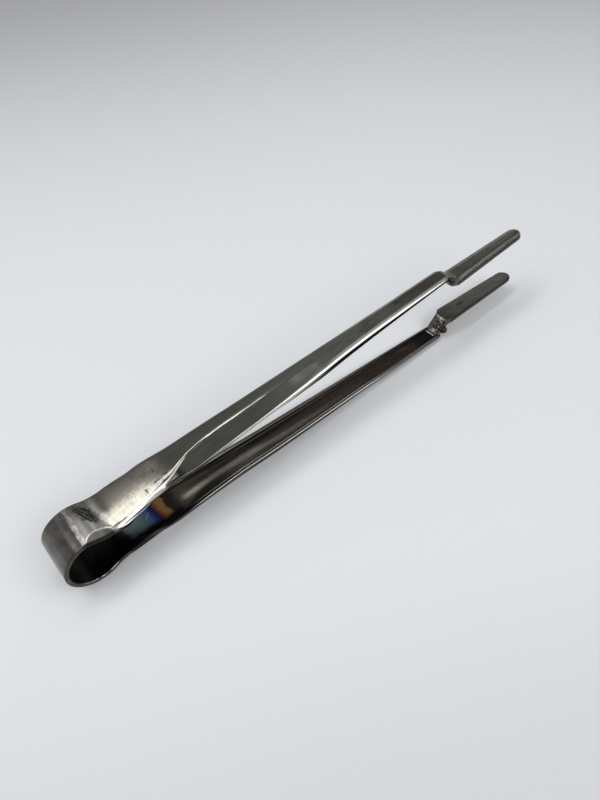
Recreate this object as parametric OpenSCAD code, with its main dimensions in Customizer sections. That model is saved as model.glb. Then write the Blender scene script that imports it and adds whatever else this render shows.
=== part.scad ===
// Flameworking crimps: one spring-steel strip bent into a bow and two channelled arms,
// with a flat paddle blade welded under the end of each arm.
// The tool lies on its side as on a bench: +X towards the blade tips, +Z up, Z = 0 the bench.
// The origin is the middle of the tool's footprint box, on the bench.

/* [Spring bow] */
// Outer diameter of the bow
bow_diameter = 22.9; // [18:0.1:30]
// Thickness of the strip
strip_t = 1.6; // [1.2:0.1:2.2]
// Width of the strip at the back of the bow
bow_width = 18.3; // [14:0.1:24]
// Width of the strip at the neck, where the bow ends and the arms begin
neck_width = 17.2; // [13:0.1:22]
// How far round from the arms' side the bow's circle stops and the neck's hollow starts
bow_open_angle = 65; // [58:1:72]
// Radius of the neck's hollow, at the middle of the strip's thickness
neck_radius = 12.5; // [9:0.5:16]

/* [Arms] */
// Reach of each arm, from the centre of the bow to the arm's cut end
arm_reach = 185.6; // [150:0.5:240]
// Splay of each arm away from the tool's middle plane, in degrees
arm_splay = 2.05; // [1.4:0.05:2.6]
// Lead-out of the strip just past the neck, in degrees to the middle plane
neck_rise = 10; // [8:0.5:13]
// Radius with which the lead-out runs into the straight arm
lead_radius = 60; // [40:5:80]
// Width of the channel where its straight taper starts
channel_width = 14.1; // [12:0.1:18]
// Width of the channel at the arm's end
arm_end_width = 8.7; // [7:0.1:12]
// Length past the neck over which the flanges fold down
fold_run = 20; // [15:1:26]
// Distance past the neck at which the taper starts
taper_start = 39; // [36:1:50]
// Fold of the flanges, in degrees
flange_angle = 82; // [70:1:86]
// Fold of the flanges at the arm's end, in degrees
end_flange_angle = 65; // [50:1:80]
// Depth of the flanges where they start, at the neck
neck_flange = 1.4; // [1:0.1:1.6]
// Depth of the flanges at their deepest
deep_flange = 3.0; // [2.6:0.1:4]
// Depth of the flanges at the arm's end
end_flange = 1.0; // [0.9:0.1:1.4]
// Distance past the neck at which the flanges are deepest
deep_at = 57; // [52:1:70]
// Radius of the channel's shoulders, at the middle of the strip's thickness
shoulder_radius = 1.1; // [0.9:0.1:1.3]
// Slope of the dressed flank from the ridge to the front shoulder, in degrees
front_flank = 15; // [8:1:18]
// Slope of the back flank, in degrees
back_flank = 4; // [2:1:8]
// Slope that is left of both flanks at the arm's end, in degrees
end_flank = 2; // [1:1:3]
// Corner radius of the arm's cut end, seen from above
arm_corner = 2; // [1:0.1:2.6]

/* [Blades] */
// Length of a blade that stands clear of the arm's end
blade_length = 57.2; // [45:0.1:75]
// Thickness of the blade
blade_t = 3.2; // [2.4:0.1:4]
// Widest part of the blade, just past its root
blade_width = 10; // [8:0.1:12]
// Width of the blade where its tip starts to round
tip_width = 7.4; // [6:0.1:9]
// Distance from the arm's outer face to the blade's working face
blade_drop = 8.3; // [7.4:0.1:9.2]
// Rounding of the blade's outer edges
blade_round = 1.8; // [1:0.1:2.2]
// Break on the edges of the working face
blade_break = 0.3; // [0.1:0.1:0.6]
// Length of the scarfed root that rises from the blade to the arm
root_run = 6.2; // [5:0.1:8]
// Overlap of the root under the arm's end
root_overlap = 1.6; // [1:0.1:2.5]
// Width of the root where it meets the arm
root_width = 7.4; // [6:0.1:8.4]

/* [Welds] */
// Rise of the rippled root weld above the metal it covers
weld_rise = 0.7; // [0.4:0.1:1]
// Number of ripples in the root weld
weld_ripples = 5; // [3:1:7]
// Radius of the nugget at the front of each root
nugget_radius = 1.8; // [1.4:0.1:2.2]

/* [Hidden] */
$fn = 96;
steel = "dimgray";
forged = "darkslategray";
bead = "silver";
bow_r = bow_diameter / 2;
half_t = strip_t / 2;
mid_r = bow_r - half_t;
reach = arm_reach + blade_length;
centre_x = (reach - bow_r) / 2;

// Helpers: a smooth step from 0 to 1 and a straight blend between two values
function smooth(u) = let (c = max(0, min(1, u))) c * c * (3 - 2 * c);
function ramp(u) = max(0, min(1, u));
function mix(a, b, u) = a + (b - a) * u;
// Turns a point of the bow's frame into the arm's frame, which runs along the arm
function to_arm(p) = [p[0] * cos(arm_splay) + p[1] * sin(arm_splay),
    -p[0] * sin(arm_splay) + p[1] * cos(arm_splay)];

// Neck: the centre of its hollow, seen from the bow's centre
hollow = [(mid_r + neck_radius) * cos(bow_open_angle), (mid_r + neck_radius) * sin(bow_open_angle)];

// Path of the strip along an arm, from the bottom of the neck to the arm's cut end
turn = neck_rise - arm_splay;
hollow_run = neck_radius * neck_rise * PI / 180;
hollow_end = to_arm([hollow[0] + neck_radius * sin(neck_rise), hollow[1] - neck_radius * cos(neck_rise)]);
lead_run = (mid_r - hollow_end[1] - lead_radius * (1 - cos(turn))) / sin(turn);
lead_end = hollow_end + lead_run * [cos(turn), sin(turn)];
bend_run = lead_radius * turn * PI / 180;
bend_end = lead_end + lead_radius * [sin(turn), 1 - cos(turn)];
straight_run = arm_reach - bend_end[0];
arm_run = hollow_run + lead_run + bend_run + straight_run;
// Each path point is [x, z, direction] in the arm's frame
function path_point(s) =
    s < hollow_run ? let (a = s / hollow_run * neck_rise,
        p = to_arm([hollow[0] + neck_radius * sin(a), hollow[1] - neck_radius * cos(a)]))
        [p[0], p[1], a - arm_splay]
    : s < hollow_run + lead_run ? let (d = s - hollow_run)
        [hollow_end[0] + d * cos(turn), hollow_end[1] + d * sin(turn), turn]
    : s < hollow_run + lead_run + bend_run ? let (a = turn - (s - hollow_run - lead_run) / lead_radius * 180 / PI)
        [bend_end[0] - lead_radius * sin(a), bend_end[1] - lead_radius * (1 - cos(a)), a]
    : [bend_end[0] + s - hollow_run - lead_run - bend_run, mid_r, 0];

// Forming of the strip, as functions of the distance past the neck
ridge_start = 21;
ridge_full = 36;
flank_fade = 94;
fold_start = 1;
least_fold = 5;
depth_start = 8;
flank_delay = 2;
crease_arc = 1.6;
first_crease_arc = 0.9;
ridge_w = 0.12;
flat_left = 0.3;
flank_share = 0.6;
widest_radius = 5;
function taper_w(s) = mix(channel_width, arm_end_width, (s - taper_start) / (arm_run - taper_start)) / 2;
function plan_w(s) = taper_w(s)
    + (neck_width / 2 - taper_w(0)) * pow(1 - ramp(s / taper_start), 2);
function fold(s) = max(least_fold, flange_angle * smooth((s - fold_start) / fold_run))
    - (flange_angle - end_flange_angle) * smooth((s - flank_fade) / (arm_run - flank_fade));
function depth(s) = s < deep_at
    ? mix(neck_flange, deep_flange, smooth((s - depth_start) / (deep_at - depth_start)))
    : mix(deep_flange, end_flange, (s - deep_at) / (arm_run - deep_at));
function flank(s, side) = let (full = side < 0 ? front_flank : back_flank)
    s < deep_at ? full * smooth((s - ridge_start - flank_delay) / (ridge_full - ridge_start))
    : mix(full, end_flank + 1, smooth((s - deep_at) / (flank_fade - deep_at)))
        - smooth((s - flank_fade) / (arm_run - flank_fade));
// The shoulders bend wide where the fold is still shallow
function shoulder(s) = s < deep_at ? min(widest_radius, shoulder_radius * flange_angle / fold(s)) : shoulder_radius;
function web_w(s) = plan_w(s) - 2 * shoulder_radius - half_t;
function crease_share(s) = smooth((s - ridge_start) / (ridge_full - ridge_start));
function crease_len(s) = s < deep_at ? mix(first_crease_arc, crease_arc, crease_share(s))
    : mix(crease_arc, web_w(s) - flat_left, smooth((s - deep_at) / (flank_fade - deep_at)));
// Pulls the section in at the cut end, so that its corners are round seen from above
function corner(s) = let (d = arm_corner - min(arm_corner, arm_run - s))
    1 - (arm_corner - sqrt(max(0, arm_corner * arm_corner - d * d))) / (arm_end_width / 2);

// One half of the formed section, from the ridge to the edge of the flange:
// each point is [y, depth below the crown, slope] at the middle of the thickness
shoulder_steps = 5;
function half_section(s, side) =
    let (f = fold(s), k = min(flank(s, side), flank_share * f), len = crease_len(s),
        rs = shoulder(s), wm = plan_w(s) - half_t * sin(f),
        flange_y = (depth(s) - rs * tan(f / 2)) * cos(f),
        u0 = max(ridge_w, (wm - rs * sin(f) - flange_y - len - flat_left) * (1 - crease_share(s))),
        rc = k > 0.01 ? len / (k * PI / 180) : 0,
        y1 = u0 + (k > 0.01 ? rc * sin(k) : len), d1 = k > 0.01 ? rc * (1 - cos(k)) : 0,
        flat_y = wm - rs * (sin(f) - sin(k)) - y1,
        // the flank's length and the flange's straight length, solved for width and depth
        dm = depth(s) * sin(f) - d1 - rs * (cos(k) - cos(f)),
        det = cos(k) * sin(f) - sin(k) * cos(f),
        a = (flat_y * sin(f) - dm * cos(f)) / det,
        b = (dm * cos(k) - flat_y * sin(k)) / det,
        y2 = y1 + a * cos(k), d2 = d1 + a * sin(k),
        y3 = y2 + rs * (sin(f) - sin(k)), d3 = d2 + rs * (cos(k) - cos(f)))
    concat(
        [[u0, 0, 0], [u0 + (k > 0.01 ? rc * sin(k / 2) : len / 2), k > 0.01 ? rc * (1 - cos(k / 2)) : 0, k / 2]],
        [[y1, d1, k], [y1 + a / 2 * cos(k), d1 + a / 2 * sin(k), k]],
        [for (i = [0 : shoulder_steps]) let (g = mix(k, f, i / shoulder_steps))
            [y2 + rs * (sin(g) - sin(k)), d2 + rs * (cos(k) - cos(g)), g]],
        [[y3 + b * cos(f), d3 + b * sin(f), f]]);
// The closed ring of one station: over the outer face and back along the inner face
function skin(pts, side, way) = [for (p = pts)
    [side * (p[0] + way * half_t * sin(p[2])), -p[1] + way * half_t * cos(p[2])]];
function reverse(v) = [for (i = [len(v) - 1 : -1 : 0]) v[i]];
function section(s) =
    let (front = half_section(s, -1), back = half_section(s, 1))
    concat(reverse(skin(front, -1, 1)), [[0, half_t]], skin(back, 1, 1),
        reverse(skin(back, 1, -1)), [[0, -half_t]], skin(front, -1, -1));
function station(s) = let (p = path_point(s), c = corner(s))
    [for (q = section(s)) [p[0] - q[1] * sin(p[2]), q[0] * c, p[1] + q[1] * cos(p[2])]];

// Closes the end of a loft: pairs the points of one ring from its two ends inwards
function cap(n, first) = [for (i = [0 : ceil(n / 2) - 2], h = [0, 1]) if (h == 0 || i + 1 < n - 2 - i)
    let (t = first + i) h == 0 ? [t, t + 1, first + n - 1 - i] : [t + 1, first + n - 2 - i, first + n - 1 - i]];
// Skins a list of rings of equal length into one closed solid
module loft(rings) {
    n = len(rings[0]);
    m = len(rings);
    polyhedron(points = [for (r = rings) each r],
        faces = concat(
            [for (j = [0 : m - 2], i = [0 : n - 1], h = [0, 1]) let (k = (i + 1) % n, a = j * n, b = a + n)
                h == 0 ? [a + i, a + k, b + k] : [a + i, b + k, b + i]],
            [for (f = cap(n, 0)) reverse(f)],
            cap(n, (m - 1) * n)));
}
// Puts a piece made in the arm's frame on the lower or the upper side of the tool
module lower() { translate([-centre_x, 0, bow_r]) mirror([0, 0, 1]) children(); }
module upper() { translate([-centre_x, 0, bow_r]) rotate([0, -2 * arm_splay, 0]) children(); }

// Stations along the arm: close together where the flanges fold, far apart on the straight
formed_end = 46;
close_steps = 22;
far_steps = 15;
corner_steps = 5;
arm_stations = concat(
    [for (i = [0 : close_steps]) formed_end * i / close_steps],
    [for (i = [1 : far_steps]) mix(formed_end, arm_run - arm_corner, i / far_steps)],
    [for (i = [1 : corner_steps]) arm_run - arm_corner * (1 - sin(90 * i / corner_steps))]);
module arm() { loft([for (s = arm_stations) station(s)]); }

// Bow: the strip rolled edge on, with the two hollows of the neck, tapered in plan
// Fills the bow and its neck out to a wall at the given distance from the strip's middle
module bow_fill(wall) {
    circle(mid_r + wall);
    difference() {
        polygon([[0, 0], [hollow[0], -hollow[1]], hollow]);
        for (side = [-1, 1]) translate([hollow[0], side * hollow[1]]) circle(neck_radius - wall);
    }
}
module bow_outline() {
    difference() {
        bow_fill(half_t);
        bow_fill(-half_t);
    }
}
module bow_plan() {
    front = hollow[0];
    polygon([[-bow_r - 1, -bow_width / 2], [-bow_r, -bow_width / 2], [front, -neck_width / 2],
        [front, neck_width / 2], [-bow_r, bow_width / 2], [-bow_r - 1, bow_width / 2]]);
}
module spring_bow() {
    color(steel) translate([-centre_x, 0, bow_r]) rotate([0, -arm_splay, 0]) intersection() {
        rotate([90, 0, 0]) linear_extrude(bow_width + 2, center = true) bow_outline();
        linear_extrude(3 * bow_diameter, center = true) bow_plan();
    }
}

// Blade: a paddle parallel to the arm, with a scarfed root that rises to the arm's inner face
face_z = bow_r - blade_drop;
back_z = face_z + blade_t;
seat_z = bow_r - strip_t;
root_x = arm_reach - root_overlap;
heel_x = root_x + root_run;
shoulder_x = heel_x + 2.6;
toe = 0.3;
back_delay = 1.2;
neck_end = arm_reach + 3.9;
least_w = 0.35;
function face_at(x) = mix(seat_z - toe, face_z, smooth((x - root_x) / root_run));
function back_at(x) = min(seat_z, mix(seat_z, back_z, smooth((x - arm_reach - back_delay) / root_run)));
function side_at(x) = x < shoulder_x
    ? mix(root_width, blade_width, smooth((x - neck_end) / (shoulder_x - neck_end))) / 2
    : mix(blade_width, tip_width, (x - shoulder_x) / (reach - tip_width / 2 - shoulder_x)) / 2;
// The tip: how much of the width and of the outer face is left at a distance from the end
function tip_share(d) = let (r = tip_width / 2, e = r - min(r, d)) sqrt(max(0, 1 - e * e / (r * r)));
function tip_dip(d) = let (e = blade_round - min(blade_round, d))
    blade_round - sqrt(max(0, blade_round * blade_round - e * e));
blade_arc_steps = 4;
root_steps = 12;
body_steps = 3;
tip_steps = 8;
// Shares of the blade's width and height that its roundings may take, and of the tip's dip
round_share = 0.8;
break_share = 0.15;
dip_share = 0.9;
function blade_ring(x) =
    let (d = reach - x, w = max(least_w, side_at(x) * tip_share(d)), zi = face_at(x),
        zo = back_at(x) - dip_share * tip_dip(d),
        r = min(blade_round, round_share * w, round_share * (zo - zi)),
        e = min(blade_break, break_share * w, break_share * (zo - zi)),
        half = concat([[w - e, zi], [w, zi + e]],
            [for (i = [0 : blade_arc_steps]) let (a = 90 * i / blade_arc_steps)
                [w - r + r * cos(a), zo - r + r * sin(a)]]))
    concat([[x, 0, zi]], [for (p = half) [x, p[0], p[1]]], [[x, 0, zo]],
        [for (p = reverse(half)) [x, -p[0], p[1]]]);
blade_stations = concat(
    [for (i = [0 : root_steps]) mix(root_x, shoulder_x, i / root_steps)],
    [for (i = [1 : body_steps]) mix(shoulder_x, reach - tip_width / 2, i / body_steps)],
    [for (i = [1 : tip_steps]) reach - tip_width / 2 * (1 - sin(90 * i / tip_steps))]);
module blade() { loft([for (x = blade_stations) reverse(blade_ring(x))]); }

// Root weld: a rippled fillet laid on the arm's inner face and up the blade's scarf
root_weld_start = root_x - 1.8;
root_weld_end = heel_x - 0.6;
root_weld_w = 3.1;
weld_arc_steps = 6;
ripple_base = 0.72;
least_bead = 0.04;
function base_at(x) = x < root_x ? seat_z : face_at(x);
function ripple(x) = let (u = (x - root_weld_start) / (root_weld_end - root_weld_start))
    weld_rise * sqrt(max(0, sin(180 * u)))
        * mix(ripple_base, 1, abs(sin(180 * weld_ripples * u)));
function root_weld_ring(x) = let (h = max(least_bead, ripple(x)), zb = base_at(x))
    concat([for (i = [0 : weld_arc_steps]) let (a = 180 * i / weld_arc_steps)
        [x, root_weld_w * cos(a), zb - h * sin(a)]]);
root_weld_steps = 4 * weld_ripples;
module root_weld() {
    loft([for (i = [0 : root_weld_steps])
        root_weld_ring(mix(root_weld_start, root_weld_end, i / root_weld_steps))]);
}

// End weld: the fillet in the corner between the arm's cut end and the back of the blade
end_weld_run = 5;
end_weld_w = 3.4;
end_weld_steps = 10;
end_weld_sink = 0.25;
end_weld_lead = 0.15;
function end_weld_ring(x) = let (u = (x - arm_reach) / end_weld_run, zb = back_at(x),
        top = mix(bow_r - end_weld_sink, back_at(arm_reach + end_weld_run), smooth(mix(end_weld_lead, 1, u))),
        h = max(least_bead, top - zb))
    [for (i = [0 : weld_arc_steps]) let (a = 180 * i / weld_arc_steps)
        [x, -end_weld_w * cos(a), zb + h * sin(a)]];
module end_weld() {
    loft([for (i = [0 : end_weld_steps])
        reverse(end_weld_ring(mix(arm_reach, arm_reach + end_weld_run, i / end_weld_steps)))]);
}

// Side weld: the round nugget on the front of the root, just past the arm's cut end
nugget_gap = 0.1;
nugget_proud = 0.4;
nugget_down = 1.9;
module side_weld() {
    translate([arm_reach + nugget_gap + nugget_radius, -root_width / 2, seat_z - nugget_down])
        rotate([90, 0, 0]) rotate_extrude() intersection() {
            translate([0, nugget_proud]) circle(nugget_radius);
            square([nugget_radius, 2 * nugget_radius]);
        }
}

module upper_arm() { color(steel) upper() arm(); }
module lower_arm() { color(steel) lower() arm(); }
module upper_blade() { color(forged) upper() blade(); }
module lower_blade() { color(forged) lower() blade(); }
module upper_end_weld() { color(bead) upper() end_weld(); }
module lower_end_weld() { color(bead) lower() end_weld(); }
module upper_root_weld() { color(bead) upper() root_weld(); }
module lower_root_weld() { color(bead) lower() root_weld(); }
module upper_side_weld() { color(bead) upper() side_weld(); }
module lower_side_weld() { color(bead) lower() side_weld(); }

spring_bow();
upper_arm();
lower_arm();
upper_blade();
lower_blade();
upper_end_weld();
lower_end_weld();
upper_root_weld();
lower_root_weld();
upper_side_weld();
lower_side_weld();
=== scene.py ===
import math

import bmesh
import bpy
from mathutils import Matrix, Vector, noise
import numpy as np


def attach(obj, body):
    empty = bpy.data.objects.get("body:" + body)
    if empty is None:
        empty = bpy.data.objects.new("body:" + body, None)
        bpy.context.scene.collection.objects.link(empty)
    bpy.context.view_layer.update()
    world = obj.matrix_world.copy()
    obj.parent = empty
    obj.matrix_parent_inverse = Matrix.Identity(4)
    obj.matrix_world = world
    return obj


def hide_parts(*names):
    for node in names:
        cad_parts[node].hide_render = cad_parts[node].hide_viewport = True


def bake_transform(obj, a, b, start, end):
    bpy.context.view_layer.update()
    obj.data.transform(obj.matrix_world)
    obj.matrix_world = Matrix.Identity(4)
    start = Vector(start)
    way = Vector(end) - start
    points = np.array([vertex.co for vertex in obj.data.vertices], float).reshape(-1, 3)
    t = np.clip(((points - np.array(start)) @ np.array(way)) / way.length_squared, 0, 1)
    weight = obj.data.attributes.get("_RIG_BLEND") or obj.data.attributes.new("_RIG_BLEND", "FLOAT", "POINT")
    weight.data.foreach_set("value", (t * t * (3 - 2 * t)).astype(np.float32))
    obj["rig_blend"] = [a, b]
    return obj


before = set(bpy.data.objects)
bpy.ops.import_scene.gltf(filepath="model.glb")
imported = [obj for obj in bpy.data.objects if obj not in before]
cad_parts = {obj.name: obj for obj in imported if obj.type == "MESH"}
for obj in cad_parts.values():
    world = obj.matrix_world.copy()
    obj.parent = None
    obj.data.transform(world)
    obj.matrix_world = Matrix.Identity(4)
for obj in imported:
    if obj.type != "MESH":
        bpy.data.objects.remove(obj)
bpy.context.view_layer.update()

MM = 0.001

# Sizes of the tool, in millimetres and degrees: the construction's, but for END_DEPTH, which is more.
# s is the distance along the strip past the neck, and below 0 on the bow.
BOW_R = 11.45
STRIP_T = 1.6
BOW_W = 18.3
NECK_W = 17.2
BOW_OPEN = 65.0
NECK_R = 12.5
ARM_REACH = 185.6
SPLAY = 2.05
NECK_RISE = 10.0
LEAD_R = 60.0
CHANNEL_W = 14.1
END_W = 8.7
FOLD_START = 1.0
FOLD_RUN = 20.0
TAPER_START = 39.0
FOLD = 82.0
END_FOLD = 65.0
DEPTH_START = 8.0
NECK_DEPTH = 1.4
DEEP_DEPTH = 3.0
END_DEPTH = 1.3
DEEP_AT = 57.0
FLANK_FADE = 94.0
SHOULDER_R = 1.1
FRONT_FLANK = 15.0
BACK_FLANK = 4.0
ARM_CORNER = 2.0
BLADE_LENGTH = 57.2
BLADE_T = 3.2
BLADE_W = 10.0
TIP_W = 7.4
BLADE_DROP = 8.3
BLADE_ROUND = 1.8
ROOT_RUN = 6.2
ROOT_OVERLAP = 1.6
ROOT_W = 7.4

HALF_T = STRIP_T / 2
MID_R = BOW_R - HALF_T
REACH = ARM_REACH + BLADE_LENGTH
CENTRE_X = (REACH - BOW_R) / 2
EDGE_R = 0.28


def rad(a):
    return math.radians(a)


def sin(a):
    return math.sin(rad(a))


def cos(a):
    return math.cos(rad(a))


def tan(a):
    return math.tan(rad(a))


def ramp(u):
    return max(0.0, min(1.0, u))


def smooth(u):
    c = ramp(u)
    return c * c * (3 - 2 * c)


def rise(s, start, end):
    return smooth((s - start) / (end - start))


def mix(a, b, u):
    return a + (b - a) * u


def table(s, rows):
    """A smooth curve through (place, value) rows."""
    if s <= rows[0][0]:
        return rows[0][1]
    if s >= rows[-1][0]:
        return rows[-1][1]

    def slope(i):
        if i in (0, len(rows) - 1):
            return 0.0
        before = (rows[i][1] - rows[i - 1][1]) / (rows[i][0] - rows[i - 1][0])
        after = (rows[i + 1][1] - rows[i][1]) / (rows[i + 1][0] - rows[i][0])
        return 2 * before * after / (before + after) if before * after > 0 else 0.0

    i = max(k for k in range(len(rows) - 1) if rows[k][0] <= s)
    (s0, v0), (s1, v1) = rows[i], rows[i + 1]
    run = s1 - s0
    u = (s - s0) / run
    return (mix(v0, v1, u * u * (3 - 2 * u)) + slope(i) * run * u * (1 - u) ** 2
            - slope(i + 1) * run * u * u * (1 - u))


def to_arm(x, z):
    return x * cos(SPLAY) + z * sin(SPLAY), -x * sin(SPLAY) + z * cos(SPLAY)


# The strip's path, from the back of the bow round to an arm's cut end
HOLLOW = ((MID_R + NECK_R) * cos(BOW_OPEN), (MID_R + NECK_R) * sin(BOW_OPEN))
HOLLOW_IN = NECK_R * rad(90 - BOW_OPEN)
BOW_RUN = HOLLOW_IN + MID_R * rad(180 - BOW_OPEN)
TURN = NECK_RISE - SPLAY
HOLLOW_OUT = NECK_R * rad(NECK_RISE)
OUT_END = to_arm(HOLLOW[0] + NECK_R * sin(NECK_RISE), HOLLOW[1] - NECK_R * cos(NECK_RISE))
LEAD_RUN = (MID_R - OUT_END[1] - LEAD_R * (1 - cos(TURN))) / sin(TURN)
LEAD_END = (OUT_END[0] + LEAD_RUN * cos(TURN), OUT_END[1] + LEAD_RUN * sin(TURN))
BEND_RUN = LEAD_R * rad(TURN)
BEND_END = (LEAD_END[0] + LEAD_R * sin(TURN), LEAD_END[1] + LEAD_R * (1 - cos(TURN)))
ARM_RUN = HOLLOW_OUT + LEAD_RUN + BEND_RUN + ARM_REACH - BEND_END[0]


def path_point(s):
    """(x, z, direction) in the arm's frame at a distance s past the neck; the bow has s below 0."""
    if s < -HOLLOW_IN:
        a = BOW_OPEN + math.degrees((-s - HOLLOW_IN) / MID_R)
        x, z = to_arm(MID_R * cos(a), MID_R * sin(a))
        return x, z, a - 90 - SPLAY
    if s < HOLLOW_OUT:
        a = math.degrees(s / NECK_R)
        x, z = to_arm(HOLLOW[0] + NECK_R * sin(a), HOLLOW[1] - NECK_R * cos(a))
        return x, z, a - SPLAY
    d = s - HOLLOW_OUT
    if d < LEAD_RUN:
        return OUT_END[0] + d * cos(TURN), OUT_END[1] + d * sin(TURN), TURN
    d -= LEAD_RUN
    if d < BEND_RUN:
        a = TURN - math.degrees(d / LEAD_R)
        return BEND_END[0] - LEAD_R * sin(a), BEND_END[1] - LEAD_R * (1 - cos(a)), a
    return BEND_END[0] + d - BEND_RUN, MID_R, 0.0


# Forming of the strip, as (s, value) rows
RIDGE_PATH = [(18, -6.6), (24, -5.6), (30, -3.2), (36, -1.2), (43, -0.1), (52, 0.35), (62, 0.5),
              (78, 1.2), (92, 2.2), (115, 3.4), (140, 3.4), (180, 2.6)]
CREASE_ARC = [(24, 0.8), (45, 1.0), (70, 1.5), (100, 2.6), (130, 3.8)]
FLANK_FADING = [(57, 1.0), (80, 0.9), (105, 0.5), (130, 0.25), (174, 0.13)]
FLANK_IN, LOWER_FLANK_OUT = (21, 34), (36, 52)
LOWER_FLANK, LOWER_FLANK_LEFT = 0.22, 0.03
RIDGE_START, RIDGE_WAVES_IN, RIDGE_ROOM, LEAST_ARC = (0.5, 6.5), (24, 34), 0.5, 0.1
RIDGE_WAVES = [(0.16, 0.11, 3.7), (0.07, 0.4, 9.1)]  # (height, how often along, noise seed)
UPPER_NEAR_R = [(18, 0.5), (64, 0.65), (86, 1.6), (104, 2.5)]
LOWER_NEAR_R = [(18, 0.5), (64, 0.65)]
WIDEST_SHOULDER, SHOULDER_SHARE, FLANK_SHARE = 6.0, 0.86, 0.6
FAR_START_DEPTH, FAR_DEEPENS = 0.45, (4, 17)
LEAST_FLANGE, LEAST_FOLD = 0.25, 0.02
# How much further out the edges stand than in the construction
FAR_SWELL = [(-16, 0), (-9, 0.2), (-3, 0.42), (0, 0.40), (4, 0.30), (8, 0.36), (12, 0.60),
             (17, 0.74), (22, 0.56), (28, 0.46), (44, 0.5), (55, 0.38), (66, 0.2), (84, 0.1), (120, 0)]
LOWER_FAR_MORE = [(18, 0), (26, 0.3), (36, 0.3), (48, 0)]
NEAR_SPREAD = [(17, 0), (26, 0.8), (34, 1.0), (46, 0.9), (62, 0.8), (95, 0.5), (115, 0.1), (140, 0)]
LOWER_SPREAD = [(50, 0), (65, 0.35), (80, 0.5), (107, 0.5), (122, 0.55), (140, 1.0), (178, 1.0)]
# How much deeper the upper near flange hangs at first, and how much is then cut off it
NEAR_MORE = [(19, 0), (26, 0.45), (38, 0.45), (50, 0)]
NEAR_CUT = [(17, 0), (26, 1.1), (34, 1.35), (46, 0.68), (62, 0.5), (95, 0.24), (120, 0)]
# The upper web's crown past the neck, in degrees, and the step that its crease starts as
UPPER_CROWN = 9.0
CROWN_START, CROWN_END = -4, 52
CROWN_IN, CROWN_OUT, CROWN_NARROWS, CROWN_STEEPENS = (-3, 4), (24, 50), (13, 30), (9, 25)
CROWN_SHARE, CROWN_NARROW, CROWN_CUT, CROWN_POWERS = 0.62, 2.0, 0.7, (1.15, 2.1)
STEP_PATH = [(-4, -7.5), (2, -7.2), (8, -6.9), (16, -6.55), (21, -6.05), (26, -4.9), (30, -3.2),
             (36, -1.2), (43, -0.3)]
STEP_SLOPE = [(-1.5, 0), (2.5, 0.84), (28, 0.8), (38, 0.4), (46, 0)]
STEP_BAND = [(0, 3.0), (14, 2.2), (21, 1.2), (26, 0.7), (34, 0.5), (42, 0.4)]
# The dent where the upper near edge turns in, and the crest that runs across the strip
DENT_AT, DENT_HALF, DENT_DEEP, DENT_TURN = -4.9, 5.0, 3.4, 0.28
DENT_EDGE, DENT_SOFT, RIM_RISE, RIM_HALF, RIM_FADE = 8.75, 0.6, 0.05, 0.3, 0.15
CREST_AT, CREST_HALF, CREST_RISE, CREST_WANDER = -10.5, 0.7, 0.065, 0.35
LONG_WAVES, SHORT_WAVES = 0.05, 0.010
CREST_HIGHLIGHT_AT = -10.3


def ripple(x, y, z=0.0):
    return noise.noise(Vector((x, y, z)))


def taper_w(s):
    return mix(CHANNEL_W, END_W, (s - TAPER_START) / (ARM_RUN - TAPER_START)) / 2


def plan_w(s):
    if s < 0:
        return mix(BOW_W, NECK_W, (path_point(s)[0] + BOW_R) / (HOLLOW[0] + BOW_R)) / 2
    return taper_w(s) + (NECK_W / 2 - taper_w(0)) * (1 - ramp(s / TAPER_START)) ** 2


def fold_at(s):
    folded = FOLD * smooth((s - FOLD_START) / FOLD_RUN)
    return max(LEAST_FOLD, folded - (FOLD - END_FOLD) * rise(s, FLANK_FADE, ARM_RUN))


def depth_at(s):
    if s < DEEP_AT:
        return mix(NECK_DEPTH, DEEP_DEPTH, rise(s, DEPTH_START, DEEP_AT))
    return mix(DEEP_DEPTH, END_DEPTH, (s - DEEP_AT) / (ARM_RUN - DEEP_AT))


def rounded(u, soft=0.045):
    """A ramp that starts at 0 with a small rounding."""
    return (u + math.sqrt(u * u + soft * soft)) / 2


def crown_drop(s, y, crown):
    """The upper web past the neck is crowned: it falls away towards the step of its crease."""
    if crown == 0 or s <= CROWN_START or s > CROWN_END:
        return 0.0
    line = table(s, STEP_PATH)
    far = mix(CROWN_SHARE * plan_w(s), line + CROWN_NARROW, rise(s, *CROWN_NARROWS))
    share = rise(s, *CROWN_IN) * (1 - rise(s, *CROWN_OUT))
    power = mix(*CROWN_POWERS, rise(s, *CROWN_STEEPENS))
    span = far - line
    reach_in = min(span, max(0.0, far - y))
    drop = share * tan(crown) * span / (power + 1) * (reach_in / span) ** (power + 1)
    over = line - y
    return drop + table(s, STEP_SLOPE) * (rounded(over) - rounded(over - table(s, STEP_BAND)))


def flank_at(s, side, crown):
    """Slope of the web on either side of its crease, which the lower arm has only near the neck."""
    full = FRONT_FLANK if side < 0 else BACK_FLANK
    if not crown:
        full *= LOWER_FLANK * (1 - rise(s, *LOWER_FLANK_OUT)) + LOWER_FLANK_LEFT
    if s < DEEP_AT:
        return full * rise(s, *FLANK_IN)
    return full * table(s, FLANK_FADING)


def shoulder_at(s, side, crown):
    """Radius of a shoulder: the upper arm's near one opens out along the arm."""
    full = table(s, UPPER_NEAR_R if crown else LOWER_NEAR_R) if side < 0 else SHOULDER_R
    if s < DEEP_AT:
        full = min(WIDEST_SHOULDER, full * max(1.0, FOLD / max(fold_at(s), 1)))
    return min(full, SHOULDER_SHARE * side_depth(s, side, crown) / tan(fold_at(s) / 2))


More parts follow.
